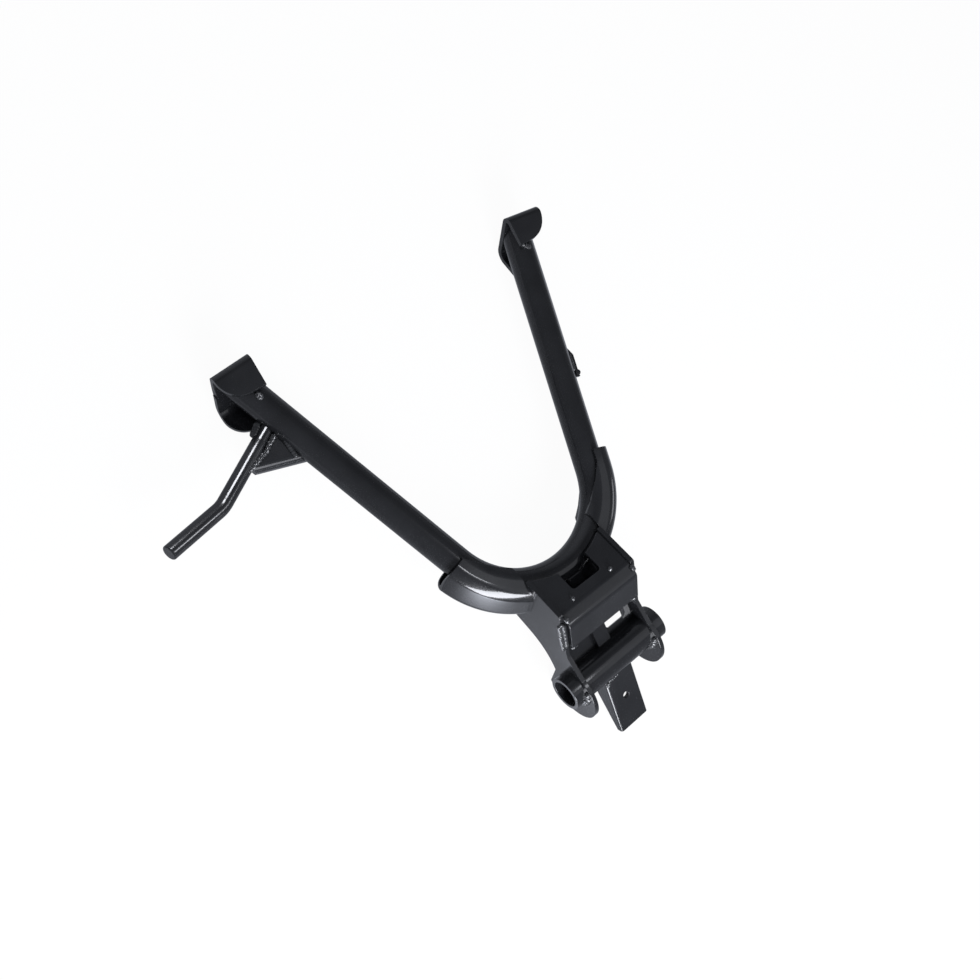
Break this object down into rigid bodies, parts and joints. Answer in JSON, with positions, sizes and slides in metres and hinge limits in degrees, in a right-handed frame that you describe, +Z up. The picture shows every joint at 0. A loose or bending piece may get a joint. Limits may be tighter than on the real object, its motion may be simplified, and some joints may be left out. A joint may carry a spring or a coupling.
{
  "type": "motorcycle_centre_stand",
  "caption": "Motorcycle centre stand: bent steel tube legs with strip feet, welded pivot tube, side plates, spring bracket and tread lever, black enamel.",
  "frame": {"origin": "centre of the pivot tube bore", "axes": "X along the pivot bore, with the lever on the -X side; Y from the pivot to the feet; Z up with the stand lying at rest on its lobes and feet"},
  "size_m": [0.417, 0.4308, 0.0847],
  "materials": {
    "tube_enamel": "gloss",
    "plate_enamel": "satin",
    "weld_enamel": "gloss"
  },
  "bodies": {
    "root": {"leg_tube": "tube_enamel", "pivot_tube": "tube_enamel", "side_plate_right": "plate_enamel", "side_plate_left": "plate_enamel", "bend_shell_right": "tube_enamel", "bend_shell_left": "tube_enamel", "bridge_plate": "plate_enamel", "centre_brace": "plate_enamel", "web_plate": "plate_enamel", "spring_bracket": "plate_enamel", "foot_right": "tube_enamel", "foot_left": "tube_enamel", "lever_rod": "tube_enamel", "lever_gusset": "plate_enamel", "cable_lug": "tube_enamel", "lug_peg": "tube_enamel", "weld_pivot_left": "weld_enamel", "weld_pivot_right": "weld_enamel", "weld_bridge_left": "weld_enamel", "weld_bridge_right": "weld_enamel", "weld_plugs": "weld_enamel", "weld_front_left": "weld_enamel", "weld_front_right": "weld_enamel", "weld_edge_left": "weld_enamel", "weld_bracket": "weld_enamel", "weld_foot_left": "weld_enamel", "weld_foot_right": "weld_enamel", "weld_gusset_leg": "weld_enamel", "weld_gusset_rod": "weld_enamel", "weld_lever_root": "weld_enamel", "weld_lug": "weld_enamel"}
  },
  "joints": []
}
